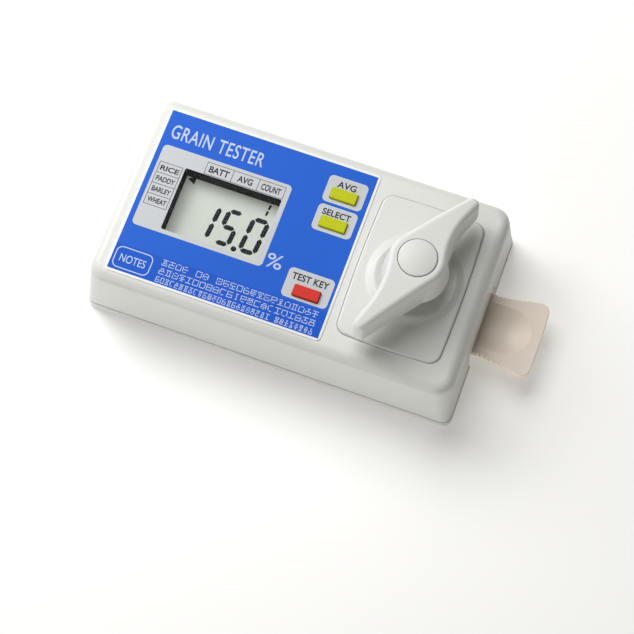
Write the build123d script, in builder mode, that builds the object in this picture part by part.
from build123d import *
import os
from math import acos, atan2, cos, degrees, hypot, radians, sin, tan

# Grain moisture meter: a desk-top case with a display and three keys on the left, and on the right
# a screw press that crushes a few kernels between a plunger and the dish of a pull-out sample tray.
# Millimetres, +Z up. The origin is the centre of the bounding box on the surface the meter stands on,
# +X runs along the case towards the tray, +Y away from the user.

# ---------------------------------------------------------------- driving dimensions
# Case: the walls lean inwards and the corners get rounder towards the top
CASE_LENGTH = 165.4          # outline at the bottom edge
CASE_WIDTH = 91.8
CORNER_RADIUS = 4.0
TOP_LENGTH = 159.3           # outline at the top, before its edge is rounded
TOP_WIDTH = 86.9
TOP_CORNER_RADIUS = 8.5
TRAY_REACH = 24.65           # how far the closed tray sticks out of the case
CASE_X = -TRAY_REACH / 2     # centre of the case along X
CASE_BOTTOM = 1.0            # height of the case's underside, lifted by the feet
CASE_TOP = 37.0
SEAM = 5.0                   # height of the joint line between the two halves
SEAM_STEP = 0.25             # the lower case stands this far proud of the upper one
TOP_EDGE_RADIUS = 4.4
BOTTOM_EDGE_RADIUS = 0.8
WALL = 2.4
FLOOR_TOP = CASE_BOTTOM + WALL
LIP_HEIGHT = 1.5             # lip of the lower case that centres the upper one
LIP_THICKNESS = 1.2
LIP_CLEARANCE = 0.15

# Case screws, in the four corners
BOSS_X = 72.5                # from the case centre
BOSS_Y = 36.5
BOSS_RADIUS = 3.6
BOSS_SEAM = 7.0              # where the lower posts meet the upper bosses
SCREW_RADIUS = 1.4
SCREW_HEAD_RADIUS = 2.6
SCREW_HEAD_HEIGHT = 1.6
HEAD_SUNK = 0.4              # depth of a case screw's head in the underside
HEAD_GAP = 0.3

# Rubber feet
FOOT_X = 56.0
FOOT_Y = 38.0
FOOT_RADIUS = 4.0
FOOT_SUNK = 0.6

# Front sheet, display and keys
SHEET_X = CASE_X - 25.3
SHEET_LENGTH = 94.8
SHEET_WIDTH = 77.6
SHEET_RADIUS = 2.0
SHEET_THICKNESS = 0.35
SHEET_TOP = CASE_TOP + SHEET_THICKNESS
WINDOW_X = CASE_X - 35.35
WINDOW_LENGTH = 43.2
WINDOW_WIDTH = 29.1
WINDOW_RADIUS = 0.8
LENS_OVERLAP = 0.8           # the clear lens reaches this far under the sheet, all round
LENS_THICKNESS = 0.8
BEZEL_WALL = 1.5
LCD_TOP = 29.6
LCD_LENGTH = 50.0
LCD_WIDTH = 35.0
LCD_THICKNESS = 2.2
KEY_X = CASE_X + 10.15
KEY_PLACES = {"average_button": 24.7, "select_button": 11.3, "measure_button": -21.2}
KEY_LENGTH = 11.4
KEY_WIDTH = 5.0
KEY_RISE = 1.3               # height of a key above the sheet
KEY_GAP = 0.25
KEY_TRAVEL = 0.8
KEY_CORNER_RADIUS = 0.5
KEY_FLANGE = 1.0             # width and thickness of the flange that keeps a key in the case

# Circuit board
BOARD_X = CASE_X - 27.0
BOARD_LENGTH = 92.0
BOARD_WIDTH = 64.8
BOARD_BOTTOM = 22.0
BOARD_THICKNESS = 1.6
BOARD_TOP = BOARD_BOTTOM + BOARD_THICKNESS
BOARD_SCREWS = [(-41.0, 27.0), (-41.0, -27.0), (25.0, 28.0), (25.0, -28.0)]
BOARD_SCREW_RADIUS = 1.0
BOARD_HEAD_HEIGHT = 1.3
BOARD_POST_RADIUS = 2.8
SWITCH_BODY = 3.5
SWITCH_TOP = 28.4

# Batteries: four AA cells side by side, lying along X
CELL_RADIUS = 7.2
CELL_LENGTH = 49.0
CELL_NUB_RADIUS = 2.7
CELL_NUB_LENGTH = 1.3
CELL_PITCH = 14.6
CELL_AXIS_Z = 11.2
CELLS_X = CASE_X - 44.0
SPRING_RADIUS = 2.9
SPRING_WIRE_RADIUS = 0.25
SPRING_TURNS = 3
BAY_LENGTH = 60.0
BAY_WIDTH = 61.6
BAY_WALL = 1.6
BAY_TOP = 15.5
CONTACT_THICKNESS = 0.4
COVER_WIDTH = 58.6           # outer, visible strip of the battery cover
COVER_TONGUE = 1.2           # how far its tongues reach into the grooves of the floor
COVER_STEP = 0.9             # thickness below the tongues
COVER_THICKNESS = 2.1
COVER_GAP = 0.2
COVER_RIGHT = CASE_X - 13.0

# Press
PRESS_X = CASE_X + 49.95
HANDLE_ANGLE = 69.5          # direction of the wing when the press is closed
FRAME_LENGTH = 46.0
FRAME_WIDTH = 52.0
FRAME_BASE_TOP = 8.3
COLUMN_THICKNESS = 5.0
BRIDGE_LENGTH = 30.0
BRIDGE_BOTTOM = 23.0
BRIDGE_TOP = 33.4
ANVIL_RADIUS = 7.0
ANVIL_BUSH_RADIUS = 9.0
ANVIL_BUSH_FLOOR = 1.2
PLUNGER_RADIUS = 10.0
PLUNGER_TOP = 25.8
RUNNING_FIT = 0.05
KEYWAY_WIDTH = 3.2
PRESS_LIFT = 4.5             # how far the plunger rises when the handle is opened
ELECTRODE_RADIUS = 9.4
ELECTRODE_THICKNESS = 2.0
INSULATOR_THICKNESS = 2.0
INSULATOR_FLOOR = 0.6
SPINDLE_RADIUS = 5.0         # threaded end, inside the plunger
NECK_RADIUS = 6.0
COLLAR_RADIUS = 9.5
COLLAR_BOTTOM = 30.5
COLLAR_TOP = 32.6
RETAINER_THICKNESS = 1.2
DRIVE_BOTTOM = 44.0          # the neck is flatted above this height, to turn with the handle
DRIVE_LENGTH = 12.0
DRIVE_FLATS = 9.4

# Press cover, the inset plate around the handle
PLATE_X = CASE_X + 48.45
PLATE_LENGTH = 46.0
PLATE_WIDTH = 65.8
PLATE_BULGE_X = 0.9          # how far the long sides bow out
PLATE_BULGE_Y = 0.7
PLATE_RADIUS = 5.0
PLATE_TOP = 38.0
PLATE_THICKNESS = 2.6
PLATE_GAP = 0.2
OPENING_LENGTH = 38.0
OPENING_WIDTH = 58.0
CRATER_OUTER = 20.5
CRATER_CREST = 17.2
CRATER_INNER = 12.6
CRATER_HEIGHT = 1.3
CRATER_FLOOR = 0.3           # height of the flat inside the crater above the plate

# Handle
HUB_RADIUS = 12.0
HUB_FOOT_RADIUS = 13.7
SKIRT_RADIUS = 11.3          # round skirt below the hub, down to the crater's flat
SKIRT_BOTTOM = 39.4
BLADE_BOTTOM = 45.6
HANDLE_TOP = 62.6
TIP_X = 34.2                 # centre of the rounded blade end
TIP_OFFSET = -1.0
TIP_RADIUS = 3.0
HOLLOW_X = 27.0              # where the hollow side of a blade becomes straight
TIP_DROP = 6.4               # the blades' top falls this far from hub to tip
HANDLE_DRAFT = 3.0
HANDLE_EDGE_RADIUS = 2.3
HANDLE_SCREW_RADIUS = 2.0
SCREW_SEAT = DRIVE_BOTTOM + DRIVE_LENGTH + 1.2
CAP_RADIUS = 7.9
CAP_GAP = 0.35
CAP_BOTTOM = 60.6
CAP_EDGE = 62.9
CAP_TOP = 63.8
CAP_CHAMFER = 0.3

# Sample tray
TRAY_TOP = 13.0
TRAY_BOTTOM = 8.5
TRAY_NECK_WIDTH = 28.0
TRAY_END_WIDTH = 35.6
TRAY_END = CASE_X + CASE_LENGTH / 2 + TRAY_REACH
TRAY_FLARE_START = CASE_X + 84.35
TRAY_INNER_END = PRESS_X - 16.5
TRAY_END_BULGE = 0.5
TRAY_CORNER_RADIUS = 4.0
TRAY_UNDERCUT = 1.5          # chamfer round the tray's lower edge
GRIP_COUNT = 9
GRIP_RADIUS = 0.8
SCOOP_RADIUS = 22.0
SCOOP_DEPTH = 2.6
SCOOP_STRAIGHT_END = CASE_X + 91.35
SCOOP_START = CASE_X + 66.35
SCOOP_TIP = CASE_X + 102.35
DISH_RADIUS = 12.0
DISH_RECESS_RADIUS = 10.0
DISH_RECESS_DEPTH = 0.8
SLOT_WIDTH = 35.0
SLOT_TOP = 14.2
GUIDE_GAP = 0.25
GUIDE_WIDTH = 2.0
GUIDE_TOP = 12.0
PLUNGER_FACE = TRAY_TOP + 0.2


# ---------------------------------------------------------------- shared geometry
def outline_at(height):
    """Length, width and corner radius of the case at a height."""
    part = (height - CASE_BOTTOM) / (CASE_TOP - CASE_BOTTOM)
    length = CASE_LENGTH + (TOP_LENGTH - CASE_LENGTH) * part
    width = CASE_WIDTH + (TOP_WIDTH - CASE_WIDTH) * part
    radius = CORNER_RADIUS + (TOP_CORNER_RADIUS - CORNER_RADIUS) * part
    return length, width, radius


def case_block(bottom, top, inset):
    """Solid with the case's leaning walls between two heights, smaller by an inset all round."""
    with BuildPart() as block:
        for height in (bottom, top):
            length, width, radius = outline_at(height)
            with BuildSketch(Plane.XY.offset(height)):
                with Locations((CASE_X, 0)):
                    RectangleRounded(length - 2 * inset, width - 2 * inset, radius - inset)
        loft(ruled=True)
    return block.part


def corner_places():
    """The four case screws."""
    return [(CASE_X + sx * BOSS_X, sy * BOSS_Y) for sx in (-1, 1) for sy in (-1, 1)]


def foot_places():
    return [(CASE_X + sx * FOOT_X, sy * FOOT_Y) for sx in (-1, 1) for sy in (-1, 1)]


def board_screw_places():
    return [(BOARD_X + x, y) for x, y in BOARD_SCREWS]


def frame_screw_places():
    return [(PRESS_X + sx * 19.5, sy * 22.5) for sx in (-1, 1) for sy in (-1, 1)]


def retainer_screw_places():
    return [(PRESS_X, -17.5), (PRESS_X, 17.5)]


def cell_rows():
    """The Y of each cell's axis, nearest the user first."""
    return [(row - 1.5) * CELL_PITCH for row in range(4)]


def key_hole(mode=Mode.ADD):
    """Hole of a key, for use inside a sketch."""
    length = KEY_LENGTH + 2 * KEY_GAP
    width = KEY_WIDTH + 2 * KEY_GAP
    return RectangleRounded(length, width, KEY_CORNER_RADIUS + KEY_GAP, mode=mode)


def plate_outline(grow):
    """Rounded rectangle with gently bowed sides, grown outwards by a clearance."""
    half_x = PLATE_LENGTH / 2 + grow
    half_y = PLATE_WIDTH / 2 + grow
    corner_x = half_x - PLATE_BULGE_X
    corner_y = half_y - PLATE_BULGE_Y
    with BuildSketch(Plane.XY) as sketch:
        with BuildLine():
            ThreePointArc((-corner_x, -corner_y), (0, -half_y), (corner_x, -corner_y))
            ThreePointArc((corner_x, -corner_y), (half_x, 0), (corner_x, corner_y))
            ThreePointArc((corner_x, corner_y), (0, half_y), (-corner_x, corner_y))
            ThreePointArc((-corner_x, corner_y), (-half_x, 0), (-corner_x, -corner_y))
        make_face()
        fillet(sketch.vertices(), PLATE_RADIUS + grow)
    return sketch.sketch


# ---------------------------------------------------------------- case
def make_upper_case():
    with BuildPart() as case:
        add(case_block(SEAM, CASE_TOP, SEAM_STEP))
        fillet(case.faces().sort_by(Axis.Z)[-1].edges(), TOP_EDGE_RADIUS)
        add(case_block(SEAM, CASE_TOP - WALL, WALL), mode=Mode.SUBTRACT)
        # Screw bosses in the corners and posts for the circuit board
        with BuildSketch(Plane.XY.offset(BOSS_SEAM)):
            with Locations(*corner_places()):
                Circle(BOSS_RADIUS)
        extrude(amount=CASE_TOP - WALL - BOSS_SEAM + 0.2)
        with BuildSketch(Plane.XY.offset(BOSS_SEAM)):
            with Locations(*corner_places()):
                Circle(SCREW_RADIUS + RUNNING_FIT)
        extrude(amount=14, mode=Mode.SUBTRACT)
        with BuildSketch(Plane.XY.offset(BOARD_TOP)):
            with Locations(*board_screw_places()):
                Circle(BOARD_POST_RADIUS)
        extrude(amount=CASE_TOP - WALL - BOARD_TOP + 0.2)
        with BuildSketch(Plane.XY.offset(BOARD_TOP)):
            with Locations(*board_screw_places()):
                Circle(BOARD_SCREW_RADIUS + RUNNING_FIT)
        extrude(amount=6, mode=Mode.SUBTRACT)
        # Thickened seat around the press opening, with the plate's rebate
        with BuildSketch(Plane.XY.offset(CASE_TOP - WALL - 1.6)):
            with Locations((PLATE_X, 0)):
                RectangleRounded(PLATE_LENGTH + 4, PLATE_WIDTH + 4, 6)
        extrude(amount=1.8)
        with BuildSketch(Plane.XY.offset(PLATE_TOP - PLATE_THICKNESS)):
            with Locations((PLATE_X, 0)):
                add(plate_outline(PLATE_GAP))
        extrude(amount=PLATE_THICKNESS, mode=Mode.SUBTRACT)
        with BuildSketch(Plane.XY.offset(SEAM)):
            with Locations((PLATE_X, 0)):
                RectangleRounded(OPENING_LENGTH, OPENING_WIDTH, 3)
        extrude(amount=CASE_TOP - SEAM, mode=Mode.SUBTRACT)
        # Display window and key holes
        with BuildSketch(Plane.XY.offset(CASE_TOP - WALL)):
            with Locations((WINDOW_X, 0)):
                rim = BEZEL_WALL + 0.2
                RectangleRounded(WINDOW_LENGTH + 2 * rim, WINDOW_WIDTH + 2 * rim, WINDOW_RADIUS + rim)
            with Locations(*[(KEY_X, y) for y in KEY_PLACES.values()]):
                key_hole()
        extrude(amount=WALL, mode=Mode.SUBTRACT)
        # Tray slot in the end wall, open downwards
        with BuildSketch(Plane.XY.offset(SEAM)):
            with Locations((CASE_X + CASE_LENGTH / 2, 0)):
                Rectangle(12, SLOT_WIDTH)
        extrude(amount=SLOT_TOP - SEAM, mode=Mode.SUBTRACT)
    return case


def make_lower_case():
    inset = WALL + LIP_CLEARANCE
    lip_top = SEAM + LIP_HEIGHT
    with BuildPart() as case:
        add(case_block(CASE_BOTTOM, SEAM, 0))
        fillet(case.faces().sort_by(Axis.Z)[0].edges(), BOTTOM_EDGE_RADIUS)
        add(case_block(SEAM - 1, lip_top, inset))
        add(case_block(FLOOR_TOP, lip_top, inset + LIP_THICKNESS), mode=Mode.SUBTRACT)
        # Screw posts
        with BuildSketch(Plane.XY.offset(FLOOR_TOP - 0.2)):
            with Locations(*corner_places()):
                Circle(BOSS_RADIUS)
        extrude(amount=BOSS_SEAM - FLOOR_TOP + 0.2)
        # Walls of the battery bay
        with BuildSketch(Plane.XY.offset(FLOOR_TOP - 0.2)):
            with Locations((CELLS_X, 0)):
                Rectangle(BAY_LENGTH, BAY_WIDTH + 2 * BAY_WALL)
                Rectangle(BAY_LENGTH - 2 * BAY_WALL, BAY_WIDTH, mode=Mode.SUBTRACT)
        extrude(amount=BAY_TOP - FLOOR_TOP + 0.2)
        # Opening of the bay, and the stepped track of its cover, open at the case's end
        track_left = CASE_X - CASE_LENGTH / 2 - 1
        track_length = COVER_RIGHT + COVER_GAP - track_left
        track_x = track_left + track_length / 2
        with BuildSketch(Plane.XY.offset(CASE_BOTTOM)):
            with Locations((track_x, 0)):
                Rectangle(track_length, COVER_WIDTH + 2 * COVER_GAP)
        extrude(amount=WALL, mode=Mode.SUBTRACT)
        with BuildSketch(Plane.XY.offset(CASE_BOTTOM + COVER_STEP)):
            with Locations((track_x, 0)):
                Rectangle(track_length, COVER_WIDTH + 2 * (COVER_TONGUE + COVER_GAP))
        extrude(amount=WALL - COVER_STEP, mode=Mode.SUBTRACT)
        # Screw holes with their counterbores, for the case and for the press frame
        with BuildSketch(Plane.XY.offset(CASE_BOTTOM)):
            with Locations(*corner_places(), *frame_screw_places()):
                Circle(SCREW_RADIUS + 0.2)
        extrude(amount=BOSS_SEAM - CASE_BOTTOM, mode=Mode.SUBTRACT)
        with BuildSketch(Plane.XY.offset(CASE_BOTTOM)):
            with Locations(*corner_places()):
                Circle(SCREW_HEAD_RADIUS + HEAD_GAP)
        extrude(amount=HEAD_SUNK + SCREW_HEAD_HEIGHT, mode=Mode.SUBTRACT)
        with BuildSketch(Plane.XY.offset(CASE_BOTTOM)):
            with Locations(*frame_screw_places()):
                Circle(SCREW_HEAD_RADIUS + HEAD_GAP)
        extrude(amount=1.4, mode=Mode.SUBTRACT)
        # Recesses for the feet
        with BuildSketch(Plane.XY.offset(CASE_BOTTOM)):
            with Locations(*foot_places()):
                Circle(FOOT_RADIUS + 0.1)
        extrude(amount=FOOT_SUNK, mode=Mode.SUBTRACT)
        # Tray slot: the end wall is cut away down to the underside
        with BuildSketch(Plane.XY.offset(CASE_BOTTOM)):
            with Locations((CASE_X + CASE_LENGTH / 2 + 1, 0)):
                Rectangle(2 * (WALL + 1), SLOT_WIDTH)
        extrude(amount=lip_top, mode=Mode.SUBTRACT)
        with BuildSketch(Plane.XY.offset(FLOOR_TOP)):
            with Locations((CASE_X + CASE_LENGTH / 2, 0)):
                Rectangle(12, SLOT_WIDTH)
        extrude(amount=lip_top, mode=Mode.SUBTRACT)
    return case


def make_rubber_feet():
    with BuildPart() as feet:
        with BuildSketch(Plane.XY):
            with Locations(*foot_places()):
                Circle(FOOT_RADIUS)
        extrude(amount=CASE_BOTTOM + FOOT_SUNK)
        chamfer(feet.edges().filter_by(GeomType.CIRCLE).group_by(Axis.Z)[0], 0.3)
    return feet


def screw_group(places, head_bottom, head_height, shank_length):
    """Pan-head screws driven upwards, each with a crossed recess."""
    with BuildPart() as screws:
        with BuildSketch(Plane.XY.offset(head_bottom)):
            with Locations(*places):
                Circle(SCREW_HEAD_RADIUS)
        extrude(amount=head_height)
        with BuildSketch(Plane.XY.offset(head_bottom + head_height)):
            with Locations(*places):
                Circle(SCREW_RADIUS)
        extrude(amount=shank_length)
        with BuildSketch(Plane.XY.offset(head_bottom)):
            with Locations(*places):
                Rectangle(2.8, 0.7)
                Rectangle(0.7, 2.8)
        extrude(amount=0.8, mode=Mode.SUBTRACT)
    return screws


def make_case_screws():
    return screw_group(corner_places(), CASE_BOTTOM + HEAD_SUNK, SCREW_HEAD_HEIGHT, 15.0)


def make_frame_screws():
    return screw_group(frame_screw_places(), CASE_BOTTOM + 0.2, 1.2, 4.8)


# ---------------------------------------------------------------- front sheet, display and keys
def make_front_sheet():
    with BuildPart() as sheet:
        with BuildSketch(Plane.XY.offset(CASE_TOP)):
            with Locations((SHEET_X, 0)):
                RectangleRounded(SHEET_LENGTH, SHEET_WIDTH, SHEET_RADIUS)
            with Locations((WINDOW_X, 0)):
                RectangleRounded(WINDOW_LENGTH, WINDOW_WIDTH, WINDOW_RADIUS, mode=Mode.SUBTRACT)
            with Locations(*[(KEY_X, y) for y in KEY_PLACES.values()]):
                key_hole(Mode.SUBTRACT)
        extrude(amount=SHEET_THICKNESS)
    return sheet


def make_display_window():
    """Clear lens that lies in the bezel's rebate, its rim covered by the front sheet."""
    grow = 2 * LENS_OVERLAP - 0.1
    with BuildPart() as window:
        with BuildSketch(Plane.XY.offset(CASE_TOP - LENS_THICKNESS)):
            with Locations((WINDOW_X, 0)):
                RectangleRounded(WINDOW_LENGTH + grow, WINDOW_WIDTH + grow, WINDOW_RADIUS)
        extrude(amount=LENS_THICKNESS)
    return window


def make_display_bezel():
    """Black frame that lines the window from the sheet down to the display."""
    flange_top = CASE_TOP - WALL - 0.1
    with BuildPart() as bezel:
        with BuildSketch(Plane.XY.offset(LCD_TOP)):
            with Locations((WINDOW_X, 0)):
                RectangleRounded(LCD_LENGTH, LCD_WIDTH, 1.5)
        extrude(amount=flange_top - LCD_TOP)
        with BuildSketch(Plane.XY.offset(flange_top)):
            with Locations((WINDOW_X, 0)):
                grow = 2 * BEZEL_WALL
                RectangleRounded(WINDOW_LENGTH + grow, WINDOW_WIDTH + grow, WINDOW_RADIUS + 1.5)
        extrude(amount=CASE_TOP - flange_top)
        with BuildSketch(Plane.XY.offset(CASE_TOP - LENS_THICKNESS)):
            with Locations((WINDOW_X, 0)):
                grow = 2 * LENS_OVERLAP
                RectangleRounded(WINDOW_LENGTH + grow, WINDOW_WIDTH + grow, WINDOW_RADIUS)
        extrude(amount=LENS_THICKNESS, mode=Mode.SUBTRACT)
        with BuildSketch(Plane.XY.offset(CASE_TOP)):
            with Locations((WINDOW_X, 0)):
                RectangleRounded(WINDOW_LENGTH, WINDOW_WIDTH, WINDOW_RADIUS)
        extrude(amount=LCD_TOP - CASE_TOP, taper=2.0, mode=Mode.SUBTRACT)
    return bezel


def make_display_glass():
    """Liquid crystal cell: a lower glass with the connecting ledges and a narrower upper glass."""
    with BuildPart() as glass:
        with BuildSketch(Plane.XY.offset(LCD_TOP - LCD_THICKNESS)):
            with Locations((WINDOW_X, 0)):
                Rectangle(LCD_LENGTH, LCD_WIDTH)
        extrude(amount=LCD_THICKNESS / 2)
        with BuildSketch(Plane.XY.offset(LCD_TOP - LCD_THICKNESS / 2)):
            with Locations((WINDOW_X, 0)):
                Rectangle(LCD_LENGTH, LCD_WIDTH - 3)
        extrude(amount=LCD_THICKNESS / 2)
    return glass


def make_zebra_strips():
    with BuildPart() as strips:
        with BuildSketch(Plane.XY.offset(BOARD_TOP)):
            with Locations((WINDOW_X, -15.5), (WINDOW_X, 15.5)):
                Rectangle(LCD_LENGTH - 4, 2.4)
        extrude(amount=LCD_TOP - LCD_THICKNESS - BOARD_TOP)
    return strips


def make_key(y):
    """Key cap with a retaining flange under the case's top and a stem over its switch."""
    flange_top = CASE_TOP - WALL
    with BuildPart() as key:
        with BuildSketch(Plane.XY.offset(flange_top)):
            with Locations((KEY_X, y)):
                RectangleRounded(KEY_LENGTH, KEY_WIDTH, KEY_CORNER_RADIUS)
        extrude(amount=SHEET_TOP + KEY_RISE - flange_top)
        fillet(key.faces().sort_by(Axis.Z)[-1].edges(), 0.4)
        with BuildSketch(Plane.XY.offset(flange_top - KEY_FLANGE)):
            with Locations((KEY_X, y)):
                RectangleRounded(KEY_LENGTH + 2 * KEY_FLANGE, KEY_WIDTH + 2 * KEY_FLANGE, 1.0)
        extrude(amount=KEY_FLANGE)
        stem_bottom = SWITCH_TOP + KEY_TRAVEL + 0.1
        with BuildSketch(Plane.XY.offset(stem_bottom)):
            with Locations((KEY_X, y)):
                Circle(1.9)
        extrude(amount=flange_top - KEY_FLANGE - stem_bottom)
    return key


# ---------------------------------------------------------------- electronics
def make_main_board():
    with BuildPart() as board:
        with BuildSketch(Plane.XY.offset(BOARD_BOTTOM)):
            with Locations((BOARD_X, 0)):
                RectangleRounded(BOARD_LENGTH, BOARD_WIDTH, 1.5)
            with Locations(*board_screw_places()):
                Circle(1.3, mode=Mode.SUBTRACT)
        extrude(amount=BOARD_THICKNESS)
    return board


def make_board_screws():
    with BuildPart() as screws:
        with BuildSketch(Plane.XY.offset(BOARD_BOTTOM - BOARD_HEAD_HEIGHT)):
            with Locations(*board_screw_places()):
                Circle(2.1)
        extrude(amount=BOARD_HEAD_HEIGHT)
        with BuildSketch(Plane.XY.offset(BOARD_BOTTOM)):
            with Locations(*board_screw_places()):
                Circle(BOARD_SCREW_RADIUS)
        extrude(amount=BOARD_THICKNESS + 5)
        with BuildSketch(Plane.XY.offset(BOARD_BOTTOM - BOARD_HEAD_HEIGHT)):
            with Locations(*board_screw_places()):
                Rectangle(2.4, 0.6)
                Rectangle(0.6, 2.4)
        extrude(amount=0.7, mode=Mode.SUBTRACT)
    return screws


def make_key_switches():
    """Tactile switch under each key."""
    places = [(KEY_X, y) for y in KEY_PLACES.values()]
    with BuildPart() as switches:
        with BuildSketch(Plane.XY.offset(BOARD_TOP)):
            with Locations(*places):
                Rectangle(6, 6)
        extrude(amount=SWITCH_BODY)
        with BuildSketch(Plane.XY.offset(BOARD_TOP + SWITCH_BODY)):
            with Locations(*places):
                Circle(1.7)
        extrude(amount=SWITCH_TOP - BOARD_TOP - SWITCH_BODY)
    return switches


def make_board_components():
    """Processor, amplifier, reference capacitors and buzzer on the board's underside."""
    with BuildPart() as components:
        with BuildSketch(Plane.XY.offset(BOARD_BOTTOM - 1.6)):
            with Locations((BOARD_X + 34, 14), (BOARD_X + 34, -2)):
                Rectangle(10, 8)
        extrude(amount=1.6)
        with BuildSketch(Plane.XY.offset(BOARD_BOTTOM - 1.0)):
            with Locations(*[(BOARD_X + 22 + 3.5 * i, -20) for i in range(6)]):
                Rectangle(1.6, 3.2)
        extrude(amount=1.0)
        with BuildSketch(Plane.XY.offset(BOARD_BOTTOM - 5.0)):
            with Locations((BOARD_X + 39, 25)):
                Circle(4)
        extrude(amount=5.0)
    return components


# ---------------------------------------------------------------- batteries
def make_cell(row):
    """AA cell along X; every second one is turned round, so the four are in series."""
    y = cell_rows()[row]
    way = 1 if row % 2 == 0 else -1
    start = CELLS_X - way * (CELL_LENGTH + CELL_NUB_LENGTH) / 2
    base = Plane(origin=(start, y, CELL_AXIS_Z), x_dir=(0, 1, 0), z_dir=(way, 0, 0))
    with BuildPart() as cell:
        with BuildSketch(base):
            Circle(CELL_RADIUS)
        extrude(amount=CELL_LENGTH)
        fillet(cell.edges().filter_by(GeomType.CIRCLE), 0.6)
        with BuildSketch(base.offset(CELL_LENGTH)):
            Circle(CELL_NUB_RADIUS)
        extrude(amount=CELL_NUB_LENGTH)
    return cell


def make_battery_contacts():
    """Sheet-metal contacts on both end walls of the bay."""
    reach = BAY_LENGTH / 2 - BAY_WALL - CONTACT_THICKNESS / 2
    right = CELLS_X + reach
    left = CELLS_X - reach
    with BuildPart() as contacts:
        with BuildSketch(Plane.XY.offset(CELL_AXIS_Z - 5)):
            with Locations(*[(x, y) for x in (left, right) for y in cell_rows()]):
                Rectangle(CONTACT_THICKNESS, 11)
        extrude(amount=10)
        # Links between neighbouring contacts, which put the cells in series
        with BuildSketch(Plane.XY.offset(CELL_AXIS_Z - 1)):
            with Locations((right, -CELL_PITCH), (right, CELL_PITCH), (left, 0)):
                Rectangle(CONTACT_THICKNESS, CELL_PITCH)
        extrude(amount=2)
    return contacts


def make_battery_springs():
    """Coil springs that press on the flat, negative end of each cell."""
    inner = BAY_LENGTH / 2 - BAY_WALL - CONTACT_THICKNESS
    with BuildPart() as springs:
        for row, y in enumerate(cell_rows()):
            way = 1 if row % 2 == 0 else -1
            rise = inner - (CELL_LENGTH + CELL_NUB_LENGTH) / 2 - 2 * SPRING_WIRE_RADIUS - 0.1
            start = (CELLS_X - way * (inner - SPRING_WIRE_RADIUS - 0.05), y, CELL_AXIS_Z)
            with BuildLine() as path:
                Helix(rise / SPRING_TURNS, rise, SPRING_RADIUS, center=start, direction=(way, 0, 0))
            with BuildSketch(Plane(origin=path.line @ 0, z_dir=path.line % 0)):
                Circle(SPRING_WIRE_RADIUS)
            sweep(path=path.line)
    return springs


def make_battery_cover():
    """Sliding cover: a plate with tongues along both sides and a ribbed thumb patch."""
    left = CASE_X - CASE_LENGTH / 2 + 0.3
    length = COVER_RIGHT - left
    middle = left + length / 2
    with BuildPart() as cover:
        with BuildSketch(Plane.XY.offset(CASE_BOTTOM)):
            with Locations((middle, 0)):
                Rectangle(length, COVER_WIDTH)
        extrude(amount=COVER_THICKNESS)
        with BuildSketch(Plane.XY.offset(CASE_BOTTOM + COVER_STEP + 0.1)):
            with Locations((middle, 0)):
                Rectangle(length, COVER_WIDTH + 2 * COVER_TONGUE)
        extrude(amount=COVER_THICKNESS - COVER_STEP - 0.1)
        with BuildSketch(Plane.XY.offset(CASE_BOTTOM)):
            with Locations(*[(left + 8 + 2.4 * i, 0) for i in range(6)]):
                SlotOverall(22, 1.2, rotation=90)
        extrude(amount=0.5, mode=Mode.SUBTRACT)
    return cover


# ---------------------------------------------------------------- press
def make_press_frame():
    """Cast portal: base plate with tray guides, two columns and a bored bridge."""
    column_y = FRAME_WIDTH / 2 - COLUMN_THICKNESS / 2
    guide_y = TRAY_NECK_WIDTH / 2 + GUIDE_GAP + GUIDE_WIDTH / 2
    with BuildPart() as frame:
        with BuildSketch(Plane.XY.offset(FLOOR_TOP)):
            with Locations((PRESS_X, 0)):
                RectangleRounded(FRAME_LENGTH, FRAME_WIDTH, 3)
        extrude(amount=FRAME_BASE_TOP - FLOOR_TOP)
        with BuildSketch(Plane.XY.offset(FRAME_BASE_TOP)):
            with Locations((PRESS_X, -guide_y), (PRESS_X, guide_y)):
                Rectangle(FRAME_LENGTH, GUIDE_WIDTH)
        extrude(amount=GUIDE_TOP - FRAME_BASE_TOP)
        with BuildSketch(Plane.XY.offset(FRAME_BASE_TOP)):
            with Locations((PRESS_X, -column_y), (PRESS_X, column_y)):
                Rectangle(BRIDGE_LENGTH - 4, COLUMN_THICKNESS)
        extrude(amount=BRIDGE_BOTTOM - FRAME_BASE_TOP)
        with BuildSketch(Plane.XY.offset(BRIDGE_BOTTOM)):
            with Locations((PRESS_X, 0)):
                RectangleRounded(BRIDGE_LENGTH, FRAME_WIDTH, 3)
        extrude(amount=BRIDGE_TOP - BRIDGE_BOTTOM)
        # Plunger bore with its keyway
        with BuildSketch(Plane.XY.offset(BRIDGE_BOTTOM)):
            with Locations((PRESS_X, 0)):
                Circle(PLUNGER_RADIUS + RUNNING_FIT)
            with Locations((PRESS_X + PLUNGER_RADIUS, 0)):
                Rectangle(5.2, KEYWAY_WIDTH)
        extrude(amount=BRIDGE_TOP - BRIDGE_BOTTOM, mode=Mode.SUBTRACT)
        # Seat of the anvil's insulating bush, and the screw holes
        with BuildSketch(Plane.XY.offset(FLOOR_TOP)):
            with Locations((PRESS_X, 0)):
                Circle(ANVIL_BUSH_RADIUS)
            with Locations(*frame_screw_places()):
                Circle(SCREW_RADIUS + RUNNING_FIT)
        extrude(amount=FRAME_BASE_TOP - FLOOR_TOP, mode=Mode.SUBTRACT)
        with BuildSketch(Plane.XY.offset(BRIDGE_TOP - 5)):
            with Locations(*retainer_screw_places()):
                Circle(SCREW_RADIUS + RUNNING_FIT)
        extrude(amount=5, mode=Mode.SUBTRACT)
    return frame


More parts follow.
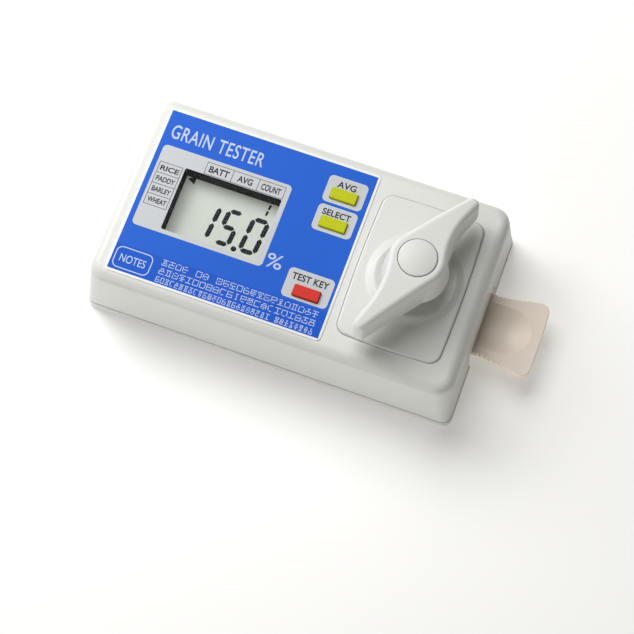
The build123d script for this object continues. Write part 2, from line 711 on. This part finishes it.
def make_anvil_bush():
    """Insulating bush that holds the anvil in the base plate."""
    with BuildPart() as bush:
        with BuildSketch(Plane.XY.offset(FLOOR_TOP)):
            with Locations((PRESS_X, 0)):
                Circle(ANVIL_BUSH_RADIUS)
        extrude(amount=FRAME_BASE_TOP - FLOOR_TOP)
        with BuildSketch(Plane.XY.offset(FLOOR_TOP + ANVIL_BUSH_FLOOR)):
            with Locations((PRESS_X, 0)):
                Circle(ANVIL_RADIUS)
        extrude(amount=FRAME_BASE_TOP - FLOOR_TOP - ANVIL_BUSH_FLOOR, mode=Mode.SUBTRACT)
    return bush


def make_anvil():
    """Steel anvil under the dish; it backs the pressing force and picks up the current."""
    bottom = FLOOR_TOP + ANVIL_BUSH_FLOOR
    with BuildPart() as anvil:
        with BuildSketch(Plane.XY.offset(bottom)):
            with Locations((PRESS_X, 0)):
                Circle(ANVIL_RADIUS)
        extrude(amount=FRAME_BASE_TOP + 0.1 - bottom)
        chamfer(anvil.edges().filter_by(GeomType.CIRCLE).sort_by(Axis.Z)[-1], 0.3)
    return anvil


def make_spindle():
    """Screw spindle: threaded end in the plunger, thrust collar, neck and a flatted drive in the handle."""
    tip = PLUNGER_FACE + ELECTRODE_THICKNESS + INSULATOR_FLOOR + PRESS_LIFT + 0.2
    groove_pitch = 1.5
    groove_count = int((COLLAR_BOTTOM - tip) / groove_pitch) - 1
    grooves = [tip + 1.2 + groove_pitch * i for i in range(groove_count)]
    with BuildPart() as spindle:
        with BuildSketch(Plane.XY.offset(tip)):
            with Locations((PRESS_X, 0)):
                Circle(SPINDLE_RADIUS)
        extrude(amount=COLLAR_BOTTOM - tip)
        chamfer(spindle.edges().filter_by(GeomType.CIRCLE).sort_by(Axis.Z)[0], 0.6)
        with BuildSketch(Plane.XY.offset(COLLAR_BOTTOM)):
            with Locations((PRESS_X, 0)):
                Circle(COLLAR_RADIUS)
        extrude(amount=COLLAR_TOP - COLLAR_BOTTOM)
        with BuildSketch(Plane.XY.offset(COLLAR_TOP)):
            with Locations((PRESS_X, 0)):
                Circle(NECK_RADIUS)
        extrude(amount=DRIVE_BOTTOM - COLLAR_TOP)
        with BuildSketch(Plane.XY.offset(DRIVE_BOTTOM)):
            with Locations((PRESS_X, 0)):
                Circle(NECK_RADIUS)
                Rectangle(2 * NECK_RADIUS, DRIVE_FLATS, mode=Mode.INTERSECT)
        extrude(amount=DRIVE_LENGTH)
        with BuildSketch(Plane.XY.offset(DRIVE_BOTTOM)):
            with Locations((PRESS_X, 0)):
                Circle(HANDLE_SCREW_RADIUS + RUNNING_FIT)
        extrude(amount=DRIVE_LENGTH, mode=Mode.SUBTRACT)
        # Thread grooves
        with BuildSketch(Plane.XZ):
            with Locations(*[(PRESS_X + SPINDLE_RADIUS, height) for height in grooves]):
                Rectangle(0.8, 0.6)
        revolve(axis=Axis((PRESS_X, 0, 0), (0, 0, 1)), mode=Mode.SUBTRACT)
    return spindle


def make_thrust_washer():
    with BuildPart() as washer:
        with BuildSketch(Plane.XY.offset(COLLAR_TOP + 0.1)):
            with Locations((PRESS_X, 0)):
                Circle(COLLAR_RADIUS)
                Circle(NECK_RADIUS + 0.3, mode=Mode.SUBTRACT)
        extrude(amount=0.6)
    return washer


def make_spindle_retainer():
    """Steel plate screwed on the bridge, which holds the spindle's collar down."""
    with BuildPart() as retainer:
        with BuildSketch(Plane.XY.offset(BRIDGE_TOP)):
            with Locations((PRESS_X, 0)):
                RectangleRounded(24, 44, 4)
                Circle(NECK_RADIUS + RUNNING_FIT, mode=Mode.SUBTRACT)
            with Locations(*retainer_screw_places()):
                Circle(SCREW_RADIUS + 0.15, mode=Mode.SUBTRACT)
        extrude(amount=RETAINER_THICKNESS)
    return retainer


def make_retainer_screws():
    top = BRIDGE_TOP + RETAINER_THICKNESS
    with BuildPart() as screws:
        with BuildSketch(Plane.XY.offset(top - 5.5)):
            with Locations(*retainer_screw_places()):
                Circle(SCREW_RADIUS)
        extrude(amount=5.5)
        with BuildSketch(Plane.XY.offset(top)):
            with Locations(*retainer_screw_places()):
                Circle(SCREW_HEAD_RADIUS)
        extrude(amount=1.2)
        with BuildSketch(Plane.XY.offset(top + 0.6)):
            with Locations(*retainer_screw_places()):
                Rectangle(3.2, 0.6)
                Rectangle(0.6, 3.2)
        extrude(amount=0.6, mode=Mode.SUBTRACT)
    return screws


def make_plunger():
    """Sleeve with an inner thread; a key on its side stops it turning in the bridge."""
    bottom = PLUNGER_FACE + ELECTRODE_THICKNESS + INSULATOR_THICKNESS
    with BuildPart() as plunger:
        with BuildSketch(Plane.XY.offset(bottom)):
            with Locations((PRESS_X, 0)):
                Circle(PLUNGER_RADIUS)
        extrude(amount=PLUNGER_TOP - bottom)
        with BuildSketch(Plane.XY.offset(PLUNGER_TOP - 3.0)):
            with Locations((PRESS_X + PLUNGER_RADIUS, 0)):
                Rectangle(4.6, KEYWAY_WIDTH - 0.3)
        extrude(amount=2.8)
        with BuildSketch(Plane.XY.offset(bottom)):
            with Locations((PRESS_X, 0)):
                Circle(SPINDLE_RADIUS + RUNNING_FIT)
        extrude(amount=PLUNGER_TOP - bottom, mode=Mode.SUBTRACT)
    return plunger


def make_plunger_insulator():
    bottom = PLUNGER_FACE + ELECTRODE_THICKNESS
    with BuildPart() as insulator:
        with BuildSketch(Plane.XY.offset(bottom)):
            with Locations((PRESS_X, 0)):
                Circle(PLUNGER_RADIUS)
        extrude(amount=INSULATOR_THICKNESS)
        with BuildSketch(Plane.XY.offset(bottom + INSULATOR_FLOOR)):
            with Locations((PRESS_X, 0)):
                Circle(SPINDLE_RADIUS + 0.4)
        extrude(amount=INSULATOR_THICKNESS - INSULATOR_FLOOR, mode=Mode.SUBTRACT)
    return insulator


def make_upper_electrode():
    """Hardened disc with a ribbed face that crushes the kernels."""
    rib_pitch = 2.0
    with BuildPart() as electrode:
        with BuildSketch(Plane.XY.offset(PLUNGER_FACE)):
            with Locations((PRESS_X, 0)):
                Circle(ELECTRODE_RADIUS)
        extrude(amount=ELECTRODE_THICKNESS)
        with BuildSketch(Plane.XY.offset(PLUNGER_FACE)):
            with Locations(*[(PRESS_X, rib_pitch * (i - 3)) for i in range(7)]):
                Rectangle(2 * ELECTRODE_RADIUS, 0.6)
        extrude(amount=0.4, mode=Mode.SUBTRACT)
    return electrode


def make_press_cover():
    """Inset plate with a low crater-shaped collar around the handle."""
    base = PLATE_TOP - 1.0
    crest = PLATE_TOP + CRATER_HEIGHT
    floor = PLATE_TOP + CRATER_FLOOR
    with BuildPart() as cover:
        with BuildSketch(Plane.XY.offset(PLATE_TOP - PLATE_THICKNESS)):
            with Locations((PLATE_X, 0)):
                add(plate_outline(0))
        extrude(amount=PLATE_THICKNESS)
        fillet(cover.faces().sort_by(Axis.Z)[-1].edges(), 1.0)
        # Collar: rises from the plate to a round crest and dips again towards the spindle
        with BuildSketch(Plane.XZ):
            with BuildLine():
                Polyline(
                    (PRESS_X + CRATER_INNER, floor),
                    (PRESS_X, floor),
                    (PRESS_X, base),
                    (PRESS_X + CRATER_OUTER, base),
                    (PRESS_X + CRATER_OUTER, PLATE_TOP),
                )
                Spline(
                    (PRESS_X + CRATER_OUTER, PLATE_TOP),
                    (PRESS_X + CRATER_CREST, crest),
                    (PRESS_X + CRATER_INNER, floor),
                    tangents=[(-1, 0.12), (-1, -0.05)],
                )
            make_face()
        revolve(axis=Axis((PRESS_X, 0, 0), (0, 0, 1)))
        # Underside pocket for the retainer and its screws, and the spindle hole
        with BuildSketch(Plane.XY.offset(PLATE_TOP - PLATE_THICKNESS)):
            with Locations((PLATE_X, 0)):
                Rectangle(OPENING_LENGTH - 4, OPENING_WIDTH - 4)
        extrude(amount=1.0, mode=Mode.SUBTRACT)
        with BuildSketch(Plane.XY.offset(PLATE_TOP - PLATE_THICKNESS)):
            with Locations((PRESS_X, 0)):
                Circle(NECK_RADIUS + 0.5)
        extrude(amount=PLATE_THICKNESS + CRATER_HEIGHT, mode=Mode.SUBTRACT)
    return cover


# ---------------------------------------------------------------- handle
def handle_plane(height):
    turn = radians(HANDLE_ANGLE)
    return Plane(origin=(PRESS_X, 0, height), x_dir=(cos(turn), sin(turn), 0), z_dir=(0, 0, 1))


def wing_outline():
    """Two pointed blades on a round hub. Each blade has one straight side, tangent to hub and tip,
    and one hollow side; the outline looks the same after half a turn."""
    reach = hypot(TIP_X, TIP_OFFSET)
    lean = atan2(TIP_OFFSET, TIP_X)
    straight = degrees(lean + acos((HUB_RADIUS - TIP_RADIUS) / reach))
    flat_y = TIP_OFFSET - TIP_RADIUS
    hub_rise = HUB_RADIUS + flat_y
    hollow_radius = (HOLLOW_X**2 - hub_rise * (HUB_RADIUS - flat_y)) / (2 * hub_rise)
    hollow_y = flat_y - hollow_radius
    hollow_angle = degrees(atan2(hollow_y, HOLLOW_X))
    with BuildSketch(Plane.XY) as sketch:
        with BuildLine():
            for half_turn in (0, 180):
                side = 1 if half_turn == 0 else -1
                tip = (side * TIP_X, side * TIP_OFFSET)
                hollow = (side * HOLLOW_X, side * hollow_y)
                start_of_hub = straight + half_turn
                hub_end = 180 + hollow_angle + half_turn
                hub_arc = CenterArc((0, 0), HUB_RADIUS, start_of_hub, hub_end - start_of_hub)
                tip_arc = CenterArc(tip, TIP_RADIUS, -90 + half_turn, straight + 90)
                Line(tip_arc @ 1, hub_arc @ 0)
                hollow_arc = CenterArc(
                    hollow, hollow_radius, 180 + hollow_angle + half_turn, -90 - hollow_angle
                )
                Line(hollow_arc @ 1, tip_arc @ 0)
        make_face()
    return sketch.sketch


def make_handle():
    """Winged handle with a conical hub and a round skirt, a bore for the spindle and a cap seat."""
    length = TIP_X + TIP_RADIUS + 4
    crown_radius = (length**2 + TIP_DROP**2) / (2 * TIP_DROP)
    turn = radians(HANDLE_ANGLE)
    crown_plane = Plane(
        origin=(PRESS_X, 0, 0), x_dir=(cos(turn), sin(turn), 0), z_dir=(sin(turn), -cos(turn), 0)
    )
    with BuildPart() as handle:
        with BuildSketch(handle_plane(BLADE_BOTTOM)):
            add(wing_outline())
            offset(amount=(HANDLE_TOP - BLADE_BOTTOM) * tan(radians(HANDLE_DRAFT)) / 2)
        extrude(amount=HANDLE_TOP - BLADE_BOTTOM, taper=HANDLE_DRAFT)
        # The top falls in one long arc from the hub to both tips
        with BuildSketch(crown_plane):
            with BuildLine():
                ThreePointArc(
                    (-length, HANDLE_TOP - TIP_DROP), (0, HANDLE_TOP), (length, HANDLE_TOP - TIP_DROP)
                )
                Polyline(
                    (length, HANDLE_TOP - TIP_DROP),
                    (length, BLADE_BOTTOM - 1),
                    (-length, BLADE_BOTTOM - 1),
                    (-length, HANDLE_TOP - TIP_DROP),
                )
            make_face()
        extrude(amount=HUB_FOOT_RADIUS + 6, both=True, mode=Mode.INTERSECT)
        fillet(handle.faces().sort_by(Axis.Z)[-1].edges(), HANDLE_EDGE_RADIUS)
        # Hub: a cone that widens down to its rounded foot, with the skirt below it
        foot_round = 0.7
        shoulder = HANDLE_TOP - 3.5
        with BuildSketch(Plane.XZ):
            with BuildLine():
                Polyline(
                    (PRESS_X + HUB_FOOT_RADIUS, BLADE_BOTTOM + foot_round),
                    (PRESS_X + HUB_RADIUS - 0.6, shoulder),
                    (PRESS_X, shoulder),
                    (PRESS_X, SKIRT_BOTTOM),
                    (PRESS_X + SKIRT_RADIUS, SKIRT_BOTTOM),
                    (PRESS_X + SKIRT_RADIUS, BLADE_BOTTOM),
                    (PRESS_X + HUB_FOOT_RADIUS - foot_round, BLADE_BOTTOM),
                )
                RadiusArc(
                    (PRESS_X + HUB_FOOT_RADIUS - foot_round, BLADE_BOTTOM),
                    (PRESS_X + HUB_FOOT_RADIUS, BLADE_BOTTOM + foot_round),
                    -foot_round,
                )
            make_face()
        revolve(axis=Axis((PRESS_X, 0, 0), (0, 0, 1)))
        # Bore for the neck, the flatted drive and the screw; seat for the cap
        with BuildSketch(Plane.XY.offset(SKIRT_BOTTOM)):
            with Locations((PRESS_X, 0)):
                Circle(NECK_RADIUS + RUNNING_FIT)
        extrude(amount=DRIVE_BOTTOM - SKIRT_BOTTOM, mode=Mode.SUBTRACT)
        with BuildSketch(Plane.XY.offset(DRIVE_BOTTOM)):
            with Locations((PRESS_X, 0)):
                Circle(NECK_RADIUS + RUNNING_FIT)
                Rectangle(3 * NECK_RADIUS, DRIVE_FLATS + 2 * RUNNING_FIT, mode=Mode.INTERSECT)
        extrude(amount=DRIVE_LENGTH, mode=Mode.SUBTRACT)
        with BuildSketch(Plane.XY.offset(DRIVE_BOTTOM + DRIVE_LENGTH)):
            with Locations((PRESS_X, 0)):
                Circle(HANDLE_SCREW_RADIUS + 0.3)
        extrude(amount=SCREW_SEAT - DRIVE_BOTTOM - DRIVE_LENGTH, mode=Mode.SUBTRACT)
        with BuildSketch(Plane.XY.offset(SCREW_SEAT)):
            with Locations((PRESS_X, 0)):
                Circle(CAP_RADIUS - 1.2)
        extrude(amount=CAP_BOTTOM - SCREW_SEAT, mode=Mode.SUBTRACT)
        with BuildSketch(Plane.XY.offset(CAP_BOTTOM)):
            with Locations((PRESS_X, 0)):
                Circle(CAP_RADIUS + CAP_GAP)
        extrude(amount=4, mode=Mode.SUBTRACT)
    return handle


def make_handle_screw():
    with BuildPart() as screw:
        with BuildSketch(Plane.XY.offset(SCREW_SEAT - 9)):
            with Locations((PRESS_X, 0)):
                Circle(HANDLE_SCREW_RADIUS)
        extrude(amount=9)
        with BuildSketch(Plane.XY.offset(SCREW_SEAT)):
            with Locations((PRESS_X, 0)):
                Circle(4.2)
        extrude(amount=2.6)
        with BuildSketch(Plane.XY.offset(SCREW_SEAT + 1.2)):
            with Locations((PRESS_X, 0)):
                RegularPolygon(2.0, 6)
        extrude(amount=1.4, mode=Mode.SUBTRACT)
    return screw


def make_handle_cap():
    """Domed cap that hides the handle screw."""
    sagitta = CAP_TOP - CAP_EDGE
    dome_edge = CAP_RADIUS - CAP_CHAMFER
    dome_radius = (dome_edge**2 + sagitta**2) / (2 * sagitta)
    with BuildPart() as cap:
        with BuildSketch(Plane.XZ):
            with BuildLine():
                RadiusArc((PRESS_X, CAP_TOP), (PRESS_X + dome_edge, CAP_EDGE), dome_radius)
                Polyline(
                    (PRESS_X + dome_edge, CAP_EDGE),
                    (PRESS_X + CAP_RADIUS, CAP_EDGE - CAP_CHAMFER),
                    (PRESS_X + CAP_RADIUS, CAP_BOTTOM),
                    (PRESS_X, CAP_BOTTOM),
                    (PRESS_X, CAP_TOP),
                )
            make_face()
        revolve(axis=Axis((PRESS_X, 0, 0), (0, 0, 1)))
    return cap


# ---------------------------------------------------------------- sample tray
def tray_edge(x):
    """Half width of the tray's outer part, which flares in a hollow curve."""
    start = TRAY_FLARE_START
    end = TRAY_END - TRAY_CORNER_RADIUS
    part = max(0.0, min(1.0, (x - start) / (end - start)))
    return TRAY_NECK_WIDTH / 2 + (TRAY_END_WIDTH - TRAY_NECK_WIDTH) / 2 * part**1.6


def make_sample_tray():
    """Flat slide with a hole for the dish, a flared grip with scalloped edges and a thumb scoop."""
    neck = TRAY_NECK_WIDTH / 2
    half_end = TRAY_END_WIDTH / 2
    middle_x = (TRAY_FLARE_START + TRAY_END) / 2
    scoop_axis_z = TRAY_TOP + SCOOP_RADIUS - SCOOP_DEPTH
    scoop_floor = TRAY_TOP - SCOOP_DEPTH
    tip_radius = (SCOOP_TIP - SCOOP_STRAIGHT_END) ** 2 / (2 * SCOOP_DEPTH)
    beyond = SCOOP_TIP + 4
    beyond_z = scoop_floor + (beyond - SCOOP_STRAIGHT_END) ** 2 / (2 * tip_radius)
    with BuildPart() as tray:
        with BuildSketch(Plane.XY.offset(TRAY_BOTTOM)) as outline:
            end_x = TRAY_END - TRAY_END_BULGE
            with BuildLine():
                for side in (-1, 1):
                    Line((TRAY_INNER_END, side * neck), (TRAY_FLARE_START, side * neck))
                    Spline(
                        (TRAY_FLARE_START, side * neck),
                        (middle_x, side * tray_edge(middle_x)),
                        (end_x, side * half_end),
                        tangents=[(1, 0), (1, side * 0.25)],
                    )
                ThreePointArc((end_x, -half_end), (TRAY_END, 0), (end_x, half_end))
                Line((TRAY_INNER_END, -neck), (TRAY_INNER_END, neck))
            make_face()
            fillet(outline.vertices().group_by(Axis.X)[-1], TRAY_CORNER_RADIUS)
            fillet(outline.vertices().group_by(Axis.X)[0], 3.0)
        extrude(amount=TRAY_TOP - TRAY_BOTTOM)
        fillet(tray.faces().sort_by(Axis.Z)[-1].edges(), 0.5)
        chamfer(tray.faces().sort_by(Axis.Z)[0].edges(), TRAY_UNDERCUT)
        # Scalloped finger grip on both flared edges
        pitch = (TRAY_END - TRAY_CORNER_RADIUS - 1 - TRAY_FLARE_START) / GRIP_COUNT
        rows = [TRAY_FLARE_START + pitch * i for i in range(GRIP_COUNT)]
        places = [(x, side * (tray_edge(x) + 0.15)) for x in rows for side in (-1, 1)]
        with BuildSketch(Plane.XY.offset(TRAY_BOTTOM)):
            with Locations(*places):
                Circle(GRIP_RADIUS)
        extrude(amount=TRAY_TOP - TRAY_BOTTOM, mode=Mode.SUBTRACT)
        # Thumb scoop: a wide round channel that ends in a tongue
        with BuildSketch(Plane.XZ):
            with BuildLine():
                Polyline(
                    (SCOOP_STRAIGHT_END, scoop_floor),
                    (SCOOP_START, scoop_floor),
                    (SCOOP_START, scoop_axis_z),
                    (beyond, scoop_axis_z),
                    (beyond, beyond_z),
                )
                RadiusArc((SCOOP_STRAIGHT_END, scoop_floor), (beyond, beyond_z), -tip_radius)
            make_face()
        revolve(axis=Axis((0, 0, scoop_axis_z), (1, 0, 0)), mode=Mode.SUBTRACT)
        # Hole for the dish
        with BuildSketch(Plane.XY.offset(TRAY_BOTTOM)):
            with Locations((PRESS_X, 0)):
                Circle(DISH_RADIUS)
        extrude(amount=TRAY_TOP - TRAY_BOTTOM, mode=Mode.SUBTRACT)
    return tray


def make_tray_dish():
    """Stainless dish set into the tray; kernels lie in its shallow round recess."""
    with BuildPart() as dish:
        with BuildSketch(Plane.XY.offset(TRAY_BOTTOM)):
            with Locations((PRESS_X, 0)):
                Circle(DISH_RADIUS - 0.02)
        extrude(amount=TRAY_TOP - TRAY_BOTTOM)
        with BuildSketch(Plane.XY.offset(TRAY_TOP - DISH_RECESS_DEPTH)):
            with Locations((PRESS_X, 0)):
                Circle(DISH_RECESS_RADIUS)
        extrude(amount=DISH_RECESS_DEPTH, mode=Mode.SUBTRACT)
    return dish


# ---------------------------------------------------------------- build and write
PIECES = {
    "upper_case": make_upper_case,
    "lower_case": make_lower_case,
    "rubber_feet": make_rubber_feet,
    "case_screws": make_case_screws,
    "front_sheet": make_front_sheet,
    "display_window": make_display_window,
    "display_bezel": make_display_bezel,
    "display_glass": make_display_glass,
    "zebra_strips": make_zebra_strips,
    "main_board": make_main_board,
    "board_screws": make_board_screws,
    "key_switches": make_key_switches,
    "board_components": make_board_components,
    "battery_contacts": make_battery_contacts,
    "battery_springs": make_battery_springs,
    "battery_cover": make_battery_cover,
    "press_frame": make_press_frame,
    "frame_screws": make_frame_screws,
    "anvil_bush": make_anvil_bush,
    "anvil": make_anvil,
    "spindle": make_spindle,
    "thrust_washer": make_thrust_washer,
    "spindle_retainer": make_spindle_retainer,
    "retainer_screws": make_retainer_screws,
    "plunger": make_plunger,
    "plunger_insulator": make_plunger_insulator,
    "upper_electrode": make_upper_electrode,
    "press_cover": make_press_cover,
    "handle": make_handle,
    "handle_screw": make_handle_screw,
    "handle_cap": make_handle_cap,
    "sample_tray": make_sample_tray,
    "tray_dish": make_tray_dish,
}

os.makedirs("parts", exist_ok=True)

for name, make in PIECES.items():
    piece = make()
    piece.part.label = name
    export_step(piece.part, f"parts/{name}.step")

for name, y in KEY_PLACES.items():
    key = make_key(y)
    key.part.label = name
    export_step(key.part, f"parts/{name}.step")

for row in range(4):
    cell = make_cell(row)
    cell.part.label = f"aa_cell_{row + 1}"
    export_step(cell.part, f"parts/aa_cell_{row + 1}.step")
